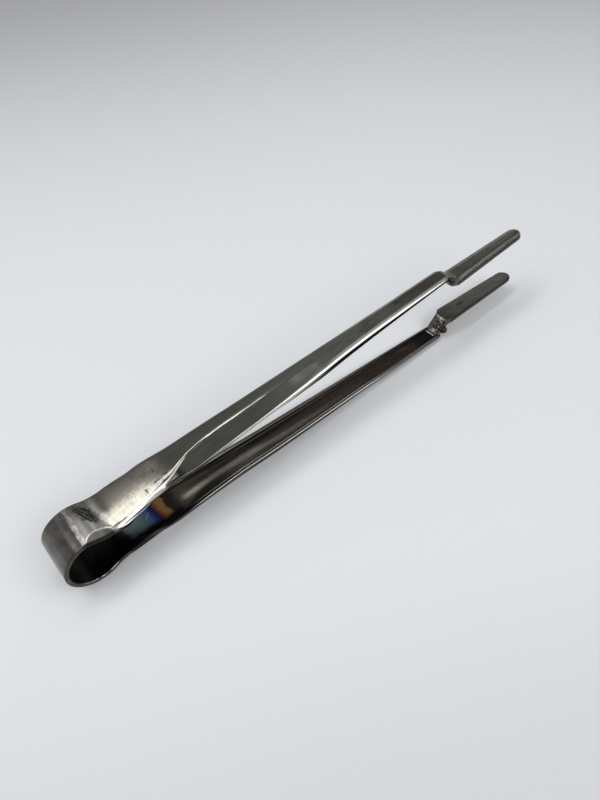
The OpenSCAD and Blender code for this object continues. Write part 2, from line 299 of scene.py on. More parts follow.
def side_depth(s, side, crown):
    """The far flange starts later; the upper near one hangs deeper at first and is then cut back."""
    if side > 0:
        return mix(FAR_START_DEPTH, depth_at(s), rise(s, *FAR_DEEPENS))
    if not crown:
        return depth_at(s)
    return depth_at(s) + (table(s, NEAR_MORE) - table(s, NEAR_CUT))


def side_w(s, side, crown):
    """Half width of the formed strip on one side."""
    if side < 0:
        return plan_w(s) + table(s, NEAR_SPREAD if crown else LOWER_SPREAD)
    w = plan_w(s) + table(s, FAR_SWELL)
    return w if crown else w + table(s, LOWER_FAR_MORE)


def ridge_at(s):
    wobble = sum(height * ripple(s * often, seed) for height, often, seed in RIDGE_WAVES)
    return table(s, RIDGE_PATH) + wobble * rise(s, *RIDGE_WAVES_IN)


def corner_at(s):
    d = ARM_CORNER - min(ARM_CORNER, ARM_RUN - s)
    return 1 - (ARM_CORNER - math.sqrt(max(0.0, ARM_CORNER ** 2 - d * d))) / (END_W / 2)


CREASE_STEPS, FLANK_STEPS, SHOULDER_STEPS, FLANGE_STEPS, EDGE_STEPS = 8, 14, 12, 4, 3


def half_section(s, side, crown):
    """Half of the formed strip from the ridge out: [(y, drop, fold), ...] at mid-thickness."""
    w = side_w(s, side, crown)
    f = fold_at(s)
    rs = shoulder_at(s, side, crown)
    k = min(flank_at(s, side, crown), FLANK_SHARE * f)
    deep = side_depth(s, side, crown) - CROWN_CUT * crown_drop(s, side * w, crown)
    run = deep - rs * tan(f / 2)
    arc = table(s, CREASE_ARC)
    edge = w - HALF_T * sin(f)
    room = edge - rs * sin(f) - max(0.0, run) * cos(f) - LEAST_FLANGE
    ridge = max(-(room - RIDGE_ROOM), min(room - RIDGE_ROOM, ridge_at(s)))
    ridge *= rise(s, *RIDGE_START)
    span = edge - side * ridge
    arc = min(arc, max(LEAST_ARC, room - side * ridge - LEAST_ARC))
    rc = arc / rad(k) if k > 0.01 else 0
    y1 = rc * sin(k) if rc else arc
    d1 = rc * (1 - cos(k)) if rc else 0.0
    flat = span - rs * (sin(f) - sin(k)) - y1
    fall = deep * sin(f) - d1 - rs * (cos(k) - cos(f))
    det = cos(k) * sin(f) - sin(k) * cos(f)
    a = (flat * sin(f) - fall * cos(f)) / det
    b = (fall * cos(k) - flat * sin(k)) / det
    y2, d2 = y1 + a * cos(k), d1 + a * sin(k)
    y3, d3 = y2 + rs * (sin(f) - sin(k)), d2 + rs * (cos(k) - cos(f))
    points = []
    for i in range(CREASE_STEPS + 1):
        g = k * i / CREASE_STEPS
        y, d = (rc * sin(g), rc * (1 - cos(g))) if rc else (arc * i / CREASE_STEPS, 0.0)
        points.append((y, d, g))
    for i in range(1, FLANK_STEPS + 1):
        t = i / FLANK_STEPS
        points.append((y1 + t * a * cos(k), d1 + t * a * sin(k), k))
    for i in range(1, SHOULDER_STEPS + 1):
        g = mix(k, f, i / SHOULDER_STEPS)
        points.append((y2 + rs * (sin(g) - sin(k)), d2 + rs * (cos(k) - cos(g)), g))
    for i in range(1, FLANGE_STEPS + 1):
        t = (b - EDGE_R) * i / FLANGE_STEPS
        points.append((y3 + t * cos(f), d3 + t * sin(f), f))
    return [(ridge + side * y, d, g) for y, d, g in points]


def shape_lift(s, y, crown):
    """Small hollows and swellings that the forming left on the strip, towards its outside."""
    lift = 0.0
    t = (s - DENT_AT) / DENT_HALF
    if abs(t) < 1 and crown:
        # the dent bends in from its rim, which stands up a little
        over = DENT_DEEP * math.sqrt(1 - t * t) - plan_w(s) - y
        if over > 0:
            lift -= DENT_TURN * over * smooth(over / DENT_SOFT)
        lift += RIM_RISE * math.exp(-(over / RIM_HALF) ** 2) * smooth((1 - abs(t)) / RIM_FADE)
    # the crest wanders and swells across the strip, and long and short waves run along it
    wander = CREST_WANDER * ripple(y * 0.45, 2.2)
    swell = 0.8 + 0.3 * ripple(y * 0.9, s * 0.6, 6.1)
    lift += CREST_RISE * swell * math.exp(-((s - CREST_AT + wander) / CREST_HALF) ** 2)
    lift += LONG_WAVES * ripple(s * 0.12, y * 0.2, 0.3)
    return lift + SHORT_WAVES * ripple(s * 0.55, y * 0.6, 4.3)


def strip_ring(s, crown):
    """Closed ring round the strip at one station, in the arm's frame.

    Each point is (x, y, z, across, inside, turned).
    """
    x, z, a = path_point(s)
    end_in = EDGE_R - min(EDGE_R, ARM_RUN - s)
    half = HALF_T - (EDGE_R - math.sqrt(max(0.0, EDGE_R ** 2 - end_in ** 2)))
    squeeze = corner_at(s)
    front, back = half_section(s, -1, crown), half_section(s, 1, crown)
    mid = [(y, d, -g) for y, d, g in reversed(front)] + back[1:]
    rows = []

    def skin(y, h, inside, turned):
        h += shape_lift(s, y, crown) - crown_drop(s, y, crown)
        rows.append((x - h * sin(a), y * squeeze, z + h * cos(a), y, inside, turned))

    def face(way, points):
        inside = 0.0 if way > 0 else 1.0
        for i, (y, d, g) in enumerate(points):
            down = max(0.0, 1 - min(i, len(points) - 1 - i) / FLANGE_STEPS)
            skin(y + way * half * sin(g), -d + way * half * cos(g), inside, abs(g) / 90 + down)

    def turned_edge(way, point):
        y, d, g = point
        edge_r = min(EDGE_R, half * 0.9)
        side = 1 if g > 0 else -1
        for sign in (way, -way):
            for j in range(EDGE_STEPS + 1):
                q = 90 * (j + 0.5) / (EDGE_STEPS + 1)
                q = q if sign == way else 90 - q
                out, up = edge_r * sin(q), sign * (half - edge_r + edge_r * cos(q))
                skin(y + side * cos(g) * out + up * sin(g), -d - side * sin(g) * out + up * cos(g),
                     0.5 - 0.15 * up / half, abs(g) / 90)

    face(1, mid)
    turned_edge(1, mid[-1])
    face(-1, list(reversed(mid)))
    turned_edge(-1, mid[0])
    return rows


def place_lower(p):
    return Vector(((p[0] - CENTRE_X) * MM, p[1] * MM, (BOW_R - p[2]) * MM))


def place_upper(p):
    c, s = cos(2 * SPLAY), sin(2 * SPLAY)
    x, z = p[0] * c - p[2] * s, p[0] * s + p[2] * c
    return Vector(((x - CENTRE_X) * MM, p[1] * MM, (z + BOW_R) * MM))


def wrap_grid(name, rings, place, lower=0.0):
    """A grid wrapped round equal rings, [(distance, ring), ...], its seam merged, its ends filled.

    Each point is (x, y, z, across, inside) and, on the strip, turned. The finishes read along and
    across in millimetres, inside (0 on the outer face, 1 on the inner or working face), turned (the
    fold as a share of a right angle, plus 0 to 1 down a flange) and lower (1 on the lower strip).
    """
    rows, cols = len(rings), len(rings[0][1])
    bm = bmesh.new()
    layers = bm.verts.layers.float
    along, across, inside, turned, low = (
        layers.new(word) for word in ("along", "across", "inside", "turned", "lower"))
    bmesh.ops.create_grid(bm, x_segments=rows - 1, y_segments=cols, size=0.5)
    for v in bm.verts:
        i = round((v.co.x + 0.5) * (rows - 1))
        j = round((v.co.y + 0.5) * cols) % cols
        s, ring = rings[i]
        point = ring[j]
        v.co = place(point)
        v[along], v[across], v[inside], v[low] = s, point[3], point[4], lower
        v[turned] = point[5] if len(point) > 5 else 0.0
    bmesh.ops.remove_doubles(bm, verts=bm.verts, dist=1e-7)
    open_edges = [e for e in bm.edges if e.is_boundary]
    starts = [e for e in open_edges if abs(e.verts[0][along] - rings[0][0]) < 1e-6]
    for loop in (starts, [e for e in open_edges if e not in starts]):
        if loop:
            bmesh.ops.holes_fill(bm, edges=loop, sides=0)
            for edge in loop:
                edge.smooth = False
    bmesh.ops.recalc_face_normals(bm, faces=bm.faces)
    return finished(name, bm)


def finished(name, bm):
    mesh = bpy.data.meshes.new(name)
    bm.to_mesh(mesh)
    bm.free()
    for polygon in mesh.polygons:
        polygon.use_smooth = True
    piece = bpy.data.objects.new(name, mesh)
    bpy.context.scene.collection.objects.link(piece)
    return piece


def steps(a, b, n, first=True):
    return [mix(a, b, i / n) for i in range(0 if first else 1, n + 1)]


FINE_FROM, FINE_TO = -13.5, 48
STRIP_STATIONS = (steps(-BOW_RUN, FINE_FROM, 34) + steps(FINE_FROM, 0, 78, False)
                  + steps(0, FINE_TO, 96, False) + steps(FINE_TO, ARM_RUN - ARM_CORNER, 90, False)
                  + [ARM_RUN - ARM_CORNER * (1 - sin(90 * i / 12)) for i in range(1, 13)])


def strip_half(name, place, crown):
    rings = [(s, strip_ring(s, crown)) for s in STRIP_STATIONS]
    return wrap_grid(name, rings, place, 0.0 if crown else 1.0)


# Blades, in the arm's frame
FACE_Z = BOW_R - BLADE_DROP
BACK_Z = FACE_Z + BLADE_T
SEAT_Z = BOW_R - STRIP_T
ROOT_X = ARM_REACH - ROOT_OVERLAP
HEEL_X = ROOT_X + ROOT_RUN
SHOULDER_X = HEEL_X + 2.6
NECK_END = ARM_REACH + 3.9
BACK_DELAY, ROOT_SINK = 1.2, 0.3
PINCH, PINCH_AT, PINCH_HALF = 0.13, ARM_REACH + 3.4, 2.0
LEAST_HALF, DIP_SHARE, BREAK_R = 0.12, 0.9, 0.35
ROUND_SHARE, ROUND_WIDE, WIDE_SHARE, BREAK_SHARES = 0.85, 1.55, 0.9, (0.3, 0.2)
BLADE_WAVES, BLADE_DIMPLES = 0.035, 0.012
FACE_STEPS, BREAK_STEPS, SIDE_STEPS, ROUND_STEPS, BACK_STEPS = 9, 4, 3, 12, 6


def face_at(x):
    return mix(SEAT_Z - ROOT_SINK, FACE_Z, smooth((x - ROOT_X) / ROOT_RUN))


def back_at(x):
    return min(SEAT_Z, mix(SEAT_Z, BACK_Z, smooth((x - ARM_REACH - BACK_DELAY) / ROOT_RUN)))


def side_at(x):
    if x < SHOULDER_X:
        return mix(ROOT_W, BLADE_W, smooth((x - NECK_END) / (SHOULDER_X - NECK_END))) / 2
    return mix(BLADE_W, TIP_W, (x - SHOULDER_X) / (REACH - TIP_W / 2 - SHOULDER_X)) / 2


def blade_ring(x):
    """Round a blade at one station, with a flat working face and a rounded back."""
    d = REACH - x
    r_tip = TIP_W / 2
    e = r_tip - min(r_tip, d)
    share = math.sqrt(max(0.0, 1 - (e / r_tip) ** 2))
    w = max(LEAST_HALF, side_at(x) * share)
    e = BLADE_ROUND - min(BLADE_ROUND, d)
    dip = BLADE_ROUND - math.sqrt(max(0.0, BLADE_ROUND ** 2 - e * e))
    low = face_at(x)
    high = back_at(x) - DIP_SHARE * dip
    r = min(BLADE_ROUND, ROUND_SHARE * w, ROUND_SHARE * (high - low))
    wide = min(ROUND_WIDE * r, WIDE_SHARE * w)
    b = min(BREAK_R, BREAK_SHARES[0] * w, BREAK_SHARES[1] * (high - low))
    half = [((w - b) * i / FACE_STEPS, low) for i in range(FACE_STEPS + 1)]
    for i in range(1, BREAK_STEPS + 1):
        q = 90 * i / BREAK_STEPS
        half.append((w - b + b * sin(q), low + b - b * cos(q)))
    half += [(w, mix(low + b, high - r, i / SIDE_STEPS)) for i in range(1, SIDE_STEPS)]
    for i in range(ROUND_STEPS + 1):
        q = 90 * i / ROUND_STEPS
        half.append((w - wide + wide * cos(q), high - r + r * sin(q)))
    half += [((w - wide) * (1 - i / BACK_STEPS), high) for i in range(1, BACK_STEPS + 1)]
    ring = half + [(-y, z) for y, z in reversed(half[1:-1])]
    pinch = 1 - PINCH * math.exp(-((x - PINCH_AT) / PINCH_HALF) ** 2)
    out = []
    for y, z in ring:
        y = y * pinch if y > 0 else y
        bump = BLADE_WAVES * ripple(x * 0.16, y * 0.3, z * 0.3 + 11)
        bump += BLADE_DIMPLES * ripple(x * 0.7, y * 0.8, z * 0.8 + 5)
        bump = bump if z > (low + high) / 2 else -bump
        out.append((x, y, z + bump, y, 1.0 if z < low + 0.5 * b else 0.0))
    return out


BLADE_STATIONS = (steps(ROOT_X, SHOULDER_X, 26) + steps(SHOULDER_X, REACH - TIP_W / 2, 40, False)
                  + [REACH - TIP_W / 2 * (1 - sin(90 * i / 16)) for i in range(1, 17)])


def blade(name, place):
    return wrap_grid(name, [(x, blade_ring(x)) for x in BLADE_STATIONS], place)


# Weld metal at a blade's root
ROOT_WELD_START, ROOT_WELD_END, ROOT_WELD_W, ROOT_WELD_RISE = ROOT_X - 1.8, HEEL_X - 0.6, 3.1, 0.7
RIPPLES, RIPPLE_POWER, RIPPLE_LOW, RIPPLE_NARROW, RIPPLE_LEAN = 5, 0.6, 0.62, 0.86, 0.175
END_WELD_RUN, END_WELD_W, END_WELD_DROP, END_WELD_LEAD = 5.0, 3.4, 0.25, 0.15
ARC_STEPS, ARC_POWER, LEAST_RISE = 16, 0.8, 0.02
SUNK, SUNK_SHARE = 0.05, 0.98
NUGGET_R, NUGGET_SUNK = 1.8, 0.02
NUGGET_AT = (ARM_REACH + 1.9, -ROOT_W / 2 - 0.4, SEAT_Z - 1.9)


def half_round(x, base, w, h, way, lean=0.0):
    """Half round outwards (way 1) or inwards (way -1), its flat side sunk a little into the steel."""
    ring = []
    for i in range(ARC_STEPS + 1):
        q = 180 * i / ARC_STEPS
        z = base + way * h * sin(q) ** ARC_POWER if 0 < i < ARC_STEPS else base
        ring.append((x + lean * (1 - abs(cos(q))), -way * w * cos(q), z, 0, 0.0))
    for i in range(ARC_STEPS - 1, 0, -1):
        y = -way * SUNK_SHARE * w * cos(180 * i / ARC_STEPS)
        ring.append((x, y, base - way * SUNK, 0, 0.0))
    return ring


def root_weld_ring(x):
    """Under the arm and the root, in ripples that swell and narrow along it."""
    u = (x - ROOT_WELD_START) / (ROOT_WELD_END - ROOT_WELD_START)
    pulse = abs(sin(180 * RIPPLES * u)) ** RIPPLE_POWER
    h = ROOT_WELD_RISE * math.sqrt(max(0.0, sin(180 * u))) * mix(RIPPLE_LOW, 1, pulse)
    base = SEAT_Z if x < ROOT_X else face_at(x)
    w = ROOT_WELD_W * mix(RIPPLE_NARROW, 1, pulse)
    return half_round(x, base, w, max(LEAST_RISE, h), -1, RIPPLE_LEAN * (pulse - 0.5))


def root_weld(name, place):
    stations = steps(ROOT_WELD_START, ROOT_WELD_END, 60)
    return wrap_grid(name, [(x, root_weld_ring(x)) for x in stations], place)


def end_weld_ring(x):
    """On the blade's back, as high as the arm's outer face at first and sinking."""
    u = (x - ARM_REACH) / END_WELD_RUN
    base = back_at(x)
    low = back_at(ARM_REACH + END_WELD_RUN)
    top = mix(BOW_R - END_WELD_DROP, low, smooth(mix(END_WELD_LEAD, 1, u)))
    return half_round(x, base, END_WELD_W, max(LEAST_RISE, top - base), 1)


def end_weld(name, place):
    stations = steps(ARM_REACH, ARM_REACH + END_WELD_RUN, 24)
    return wrap_grid(name, [(x, end_weld_ring(x)) for x in stations], place)


def side_weld(name, place):
    """The nugget: a ball of metal that sits on the root's near side."""
    bm = bmesh.new()
    bmesh.ops.create_uvsphere(bm, u_segments=40, v_segments=24, radius=NUGGET_R)
    for v in bm.verts:
        q = v.co + Vector(NUGGET_AT)
        q.y = min(q.y, -ROOT_W / 2 + NUGGET_SUNK)
        v.co = place(q)
    bmesh.ops.remove_doubles(bm, verts=bm.verts, dist=1e-7)
    bmesh.ops.recalc_face_normals(bm, faces=bm.faces)
    return finished(name, bm)


# Colours of the steel, as linear red, green and blue
NEAR_BLACK = (0.004, 0.004, 0.004)
GROUND_GREY, GROUND_PALE = (0.235, 0.23, 0.20), (0.31, 0.30, 0.262)
CLOUDED, BRIGHT_ARM = (0.17, 0.165, 0.155), (0.37, 0.362, 0.325)
NECK_GROUND, NECK_LINES = (0.225, 0.208, 0.172), (0.13, 0.122, 0.10)
BOW_DARK, BOW_PALE = (0.074, 0.069, 0.063), (0.145, 0.135, 0.124)
HOLLOW_SHEEN, CREST_HIGHLIGHT = (0.46, 0.445, 0.415), (0.62, 0.605, 0.575)
DENT_STEEL, DENT_RIM_HIGHLIGHT = (0.27, 0.262, 0.245), (0.86, 0.84, 0.81)
STEP_HIGHLIGHT, FLANK_SHADE = (0.78, 0.765, 0.73), (0.035, 0.034, 0.031)
FAR_SHOULDER_SHADE, NEAR_SHOULDER_HIGHLIGHT = (0.06, 0.058, 0.055), (0.52, 0.51, 0.495)
LOWER_SHOULDER_SHADE, SHADE_UNDER_SHOULDER = (0.02, 0.019, 0.018), (0.012, 0.012, 0.011)
FLANGE_YOUNG, FLANGE_OLD = (0.07, 0.068, 0.064), (0.022, 0.021, 0.02)
FLANGE_START, FLANGE_TOP_HIGHLIGHT = (0.05, 0.048, 0.045), (0.80, 0.78, 0.74)
BROWN_STAIN, OLIVE_STAIN = (0.23, 0.185, 0.15), (0.17, 0.17, 0.15)
ARM_END = (0.13, 0.118, 0.102)
SCALE, SCALE_AT_NECK = (0.09, 0.08, 0.069), (0.026, 0.023, 0.019)
LANE, LANE_AT_NECK = (0.27, 0.245, 0.222), (0.12, 0.105, 0.09)
DARK_LANE, SCALE_STREAKS = (0.012, 0.011, 0.009), (0.03, 0.026, 0.02)
SCALE_END = (0.018, 0.015, 0.010)
RUST_PATCH, OLIVE_PATCH = (0.125, 0.068, 0.04), (0.08, 0.072, 0.038)
LIT_FAR_INNER_FLANGE, HEAT_GLINT = (0.12, 0.115, 0.105), (0.24, 0.28, 0.33)
EDGE_DARK, LOWER_EDGE_HIGHLIGHT, EDGE_END = (0.03, 0.028, 0.026), (0.50, 0.485, 0.45), (0.26, 0.25, 0.23)
FAR_EDGE_DARK, FAR_EDGE_PALE = (0.10, 0.098, 0.088), (0.20, 0.195, 0.175)
BOW_EDGE_DARK, BOW_EDGE_PALE = (0.075, 0.06, 0.05), (0.12, 0.10, 0.084)
BOW_RIM_HIGHLIGHT, BOW_EDGE_BLACK = (0.75, 0.73, 0.69), (0.02, 0.018, 0.016)
SCRATCH = (0.018, 0.018, 0.017)
FORGED_DARK, FORGED_PALE = (0.092, 0.09, 0.078), (0.125, 0.122, 0.106)
FORGED_BROWN, FORGED_BLACK = (0.105, 0.085, 0.066), (0.05, 0.05, 0.045)
BLADE_SHOULDER_HIGHLIGHT, BLADE_SIDE_SHADE = (0.40, 0.39, 0.355), (0.028, 0.027, 0.025)
WORKING_FACE, BLADE_HEEL = (0.03, 0.031, 0.028), (0.02, 0.02, 0.018)
WELD_DARK, WELD_PALE_AND_GLINT = (0.055, 0.049, 0.043), (0.20, 0.185, 0.165)
BEAD_DARK, BEAD_PALE = (0.018, 0.017, 0.016), (0.055, 0.05, 0.044)
TABLE_SHADED_NEAR, TABLE_PALE, TABLE_SHADED_AWAY = (0.71, 0.718, 0.732), (0.82, 0.835, 0.86), (0.60, 0.60, 0.61)
WALLS, CEILING = (0.60, 0.61, 0.62), (0.215, 0.22, 0.22)

# Heat colours inside the arms, as (s, colour), and the path of the pale lane past them, as (s, across)
HEAT_RUN = 40.0
HEAT = [(0.0, NEAR_BLACK), (2.4, (0.008, 0.009, 0.009)), (5.2, (0.080, 0.112, 0.110)),
        (9.6, (0.085, 0.125, 0.134)), (12.8, (0.054, 0.092, 0.150)), (15.0, (0.020, 0.034, 0.125)),
        (16.6, (0.010, 0.011, 0.045)), (17.8, (0.085, 0.030, 0.012)), (19.6, (0.135, 0.070, 0.021)),
        (21.4, (0.110, 0.072, 0.027)), (22.6, (0.010, 0.009, 0.006)), (24.8, (0.010, 0.009, 0.007)),
        (40.0, (0.020, 0.018, 0.015))]
LANE_PATH = [(26, -0.1), (46, 0.3), (60, -0.1), (84, -1.8), (120, -2.2)]
# Marks on the upper strip: (place, size, noise seed, strength)
CHIPS = [((24.2, -3.1), (2.4, 0.75), 2.0, 1.0), ((21.2, -3.7), (2.2, 0.6), 3.0, 0.85),
         ((146.5, 1.0), (2.0, 0.8), 6.0, 1.0)]
HATCHES = [((15.0, -4.6), (1.9, 1.5), 4.0, 0.95), ((21.3, 1.2), (3.2, 1.6), 5.0, 0.7)]
SCRATCH_LEAN = (0.89, 0.455)
# A blade's painted highlight runs this far in from its near edge, which draws in by BLADE_LEAN per
# millimetre
HIGHLIGHT_IN = 1.25
BLADE_LEAN = (TIP_W - BLADE_W) / 2 / (REACH - TIP_W / 2 - SHOULDER_X)


class Wires:
    """Short words for wiring nodes in one tree."""

    def __init__(self, tree):
        self.tree = tree

    def node(self, kind, inputs=(), **settings):
        made = self.tree.nodes.new(kind)
        for key, value in settings.items():
            setattr(made, key, value)
        for key, value in dict(inputs).items():
            self.feed(made.inputs[key], value)
        return made

    def feed(self, socket, value):
        if isinstance(value, bpy.types.NodeSocket):
            self.tree.links.new(value, socket)
        else:
            socket.default_value = value

    def read(self, name):
        return self.node("ShaderNodeAttribute", attribute_name=name).outputs["Fac"]

    def math(self, operation, *values, clamp=False):
        made = self.node("ShaderNodeMath", operation=operation, use_clamp=clamp)
        for socket, value in zip(made.inputs, values):
            self.feed(socket, value)
        return made.outputs[0]

    def add(self, first, *others):
        for value in others:
            first = self.math("ADD", first, value)
        return first

    def times(self, first, *others):
        for value in others:
            first = self.math("MULTIPLY", first, value)
        return first

    def less(self, a, b):
        return self.math("SUBTRACT", a, b)

    def size(self, value):
        return self.math("ABSOLUTE", value)

    def band(self, value, low, high, to_low=0.0, to_high=1.0):
        """A smooth step of value from low to high."""
        made = self.node("ShaderNodeMapRange", interpolation_type="SMOOTHSTEP")
        ends = {"Value": value, "From Min": low, "From Max": high, "To Min": to_low, "To Max": to_high}
        for key, end in ends.items():
            self.feed(made.inputs[key], end)
        return made.outputs["Result"]

    def stretch(self, value, rise, fall):
        """A mask that rises over one pair of places and falls over the other."""
        return self.times(self.band(value, *rise), self.band(value, *fall))

    def about(self, speckle, amount):
        """A noise of 0 to 1 turned into a wander either way."""
        return self.times(self.less(speckle, 0.5), amount)

    def blend(self, share, a, b):
        made = self.node("ShaderNodeMix", data_type="RGBA")
        for socket, value in zip((made.inputs[0], made.inputs[6], made.inputs[7]), (share, a, b)):
            self.feed(socket, (*value, 1) if isinstance(value, tuple) else value)
        return made.outputs[2]

    def paint(self, base, share, colour):
        return self.blend(share, base, colour)

    def place(self, *values):
        made = self.node("ShaderNodeCombineXYZ")
        for socket, value in zip(made.inputs, values):
            self.feed(socket, value)
        return made.outputs[0]

    def line(self, along, rows, low, high):
        """The height of a curve through (place, value) rows, read at a place along the piece."""
        made = self.node("ShaderNodeFloatCurve")
        first, last = rows[0][0], rows[-1][0]
        curve = made.mapping.curves[0]
        while len(curve.points) < len(rows):
            curve.points.new(0.5, 0.5)
        for point, (s, v) in zip(curve.points, rows):
            point.location = ((s - first) / (last - first), (v - low) / (high - low))
        made.mapping.update()
        share = self.math("DIVIDE", self.less(along, first), last - first, clamp=True)
        self.feed(made.inputs["Value"], share)
        return self.add(self.times(made.outputs[0], high - low), low)

    def speckle(self, vector, scale=1.0, detail=3.0, rough=0.55):
        return self.node("ShaderNodeTexNoise", {"Vector": vector, "Scale": scale, "Detail": detail,
                                                "Roughness": rough}).outputs["Fac"]

    def surface(self, colour, rough, metallic=1.0, bump=None):
        """Wire up the material's surface; bump is (strength, distance in metres, height)."""
        inputs = {"Base Color": colour, "Metallic": metallic, "Roughness": rough}
        if bump:
            raised = self.node("ShaderNodeBump", dict(zip(("Strength", "Distance", "Height"), bump)))
            inputs["Normal"] = raised.outputs["Normal"]
        body = self.node("ShaderNodeBsdfPrincipled", inputs)
        out = self.node("ShaderNodeOutputMaterial")
        self.feed(out.inputs["Surface"], body.outputs[0])


def shader(name):
    made = bpy.data.materials.new(name)
    made.use_nodes = True
    made.node_tree.nodes.clear()
    return made, Wires(made.node_tree)


def grain_group():
    """Grain of drawn and ground steel: fine streaks along the piece, in millimetres along and across."""
    group = bpy.data.node_groups.new("steel_grain", "ShaderNodeTree")
    for name in ("Along", "Across"):
        group.interface.new_socket(name, in_out="INPUT", socket_type="NodeSocketFloat")
    for name in ("Streaks", "Mottle", "Height"):
        group.interface.new_socket(name, in_out="OUTPUT", socket_type="NodeSocketFloat")
    w = Wires(group)
    ins = w.node("NodeGroupInput")
    outs = w.node("NodeGroupOutput")

    def grains(along_scale, across_scale, seed, detail, rough=0.55):
        at = w.place(w.times(ins.outputs["Along"], along_scale),
                     w.times(ins.outputs["Across"], across_scale), seed)
        return w.speckle(at, 1.0, detail, rough)

    fine = grains(0.12, 6.0, 0.0, 4.0, 0.6)
    broad = grains(0.02, 1.1, 5.0, 2.0)
    w.feed(outs.inputs["Streaks"], w.add(w.times(fine, 0.55), w.times(broad, 0.45)))
    w.feed(outs.inputs["Mottle"], grains(0.12, 0.3, 9.0, 5.0, 0.6))
    w.feed(outs.inputs["Height"], fine)
    return group


GRAIN = grain_group()


class Places:
    """What a steel finish reads from its piece: places in millimetres, which face, and the grain."""

    def __init__(self, w):
        self.w = w
        self.along, self.across, self.inside = (w.read(name) for name in ("along", "across", "inside"))
        made = w.node("ShaderNodeGroup", node_tree=GRAIN)
        w.feed(made.inputs["Along"], self.along)
        w.feed(made.inputs["Across"], self.across)
        self.streaks, self.mottle, self.fine = (
            made.outputs[name] for name in ("Streaks", "Mottle", "Height"))

    def grains(self, along_scale, across_scale, seed, detail=3.0, rough=0.55):
        w = self.w
        at = w.place(w.times(self.along, along_scale), w.times(self.across, across_scale), seed)
        return w.speckle(at, 1.0, detail, rough)

    def spot(self, at, size, lean, ragged, seed):
        """A mask round one place, in millimetres, leaning across the piece, with a ragged rim."""
        w = self.w
        x, y = w.less(self.along, at[0]), w.less(self.across, at[1])
        u = w.math("DIVIDE", w.add(x, w.times(y, lean)), size[0])
        v = w.math("DIVIDE", w.less(y, w.times(x, lean)), size[1])
        d = w.math("SQRT", w.add(w.times(u, u), w.times(v, v)))
        d = w.add(d, w.about(self.grains(0.9, 0.9, seed, 4.0, 0.65), ragged))
        return w.band(d, 1.0, 0.6)


class StripPlaces(Places):
    """The same for the strip, with its sides and halves, the bow, the hollow and the step."""

    def __init__(self, w):
        super().__init__(w)
        self.turned = w.read("turned")
        self.lower = w.read("lower")
        self.upper = w.less(1.0, self.lower)
        self.near = w.band(self.across, -1, -2)
        self.far = w.band(self.across, 1, 2)
        self.bow = w.band(self.along, 0, -10)
        self.hollow = w.stretch(self.along, (-11, -8), (2, -2))
        self.rust = self.grains(0.35, 0.16, 21.0, 6.0, 0.65)
        self.over_step = w.less(self.across, w.line(self.along, STEP_PATH, -8.0, 0.0))
        step_run = w.stretch(self.along, (-1.5, 1), (27, 14))
        # mask of the painted highlight on the step band, also used for roughness
        self.step_highlight = w.times(w.band(self.over_step, 0.22, -0.05), step_run)


def ground_face(w, at):
    """The outer face: ground grey steel with a warm cast, and cross ground just past the neck."""
    steel = w.blend(w.band(at.streaks, 0.35, 0.65), GROUND_GREY, GROUND_PALE)
    steel = w.paint(steel, w.band(at.mottle, 0.42, 0.7, 0, 0.45), CLOUDED)
    steel = w.paint(steel, w.band(at.along, 55, 105, 0, 0.8), BRIGHT_ARM)
    lines = at.grains(3.0, 0.35, 1.0, 3.0, 0.7)
    neck = w.stretch(at.along, (0, 4), (34, 24))
    steel = w.paint(steel, w.times(neck, 0.55), NECK_GROUND)
    return w.paint(steel, w.times(neck, w.band(lines, 0.45, 0.62, 0, 0.5)), NECK_LINES)


def bow_face(w, at, steel):
    """The bow's dull skin, a painted reflection in the hollow behind the neck and a painted highlight on the
    crest that runs across before it.
    """
    skin = w.blend(w.band(at.rust, 0.38, 0.64), BOW_DARK, BOW_PALE)
    steel = w.paint(steel, w.times(at.bow, 0.92), skin)
    # painted reflection: the hollow is made lighter to stand for the light it reflects
    steel = w.paint(steel, w.times(at.hollow, w.band(at.across, 8, -4, 0, 0.9)), HOLLOW_SHEEN)
    # painted highlight along the crest
    crest = w.size(w.add(w.less(at.along, CREST_HIGHLIGHT_AT), w.about(at.rust, 4.0)))
    crest = w.times(w.band(crest, 1.15, 0.2), w.band(at.across, 9, -6, 0.4, 1.0))
    return w.paint(steel, crest, CREST_HIGHLIGHT)


def turned_in_edge(w, at, steel):
    """The near edge that turns in where the bow runs into the neck, with a painted highlight along its rim.
    """
    t = w.math("DIVIDE", w.less(at.along, DENT_AT), DENT_HALF)
    arc = w.math("SQRT", w.math("MAXIMUM", w.less(1.0, w.times(t, t)), 0.0))
    into = w.less(w.less(w.times(arc, DENT_DEEP), DENT_EDGE), at.across)
    into = w.add(into, w.about(at.rust, 0.9))
    within = w.band(w.size(t), 1.0, 0.96)
    steel = w.paint(steel, w.times(within, w.band(into, 0.0, 0.4)), DENT_STEEL)
    rim_width = w.band(at.along, -5, 0, 0.5, 0.95)
    rim_highlight = w.band(w.math("DIVIDE", w.size(into), rim_width), 1.0, 0.2)
    # painted highlight along the dent's rim
    return w.paint(steel, w.times(within, rim_highlight), DENT_RIM_HIGHLIGHT)


def step_face(w, at, steel):
    """A painted highlight on the near edge below the crease's step, and painted shade on the flank where the
    step fades.
    """
    # painted highlight on the step band
    steel = w.paint(steel, w.times(at.step_highlight, 0.9), STEP_HIGHLIGHT)
    below = w.times(w.band(at.over_step, -0.5, -1.0), w.stretch(at.along, (21, 24), (31, 28)))
    # painted shade over the flank's reflection below the ridge
    return w.paint(steel, w.times(below, 0.9), FLANK_SHADE)


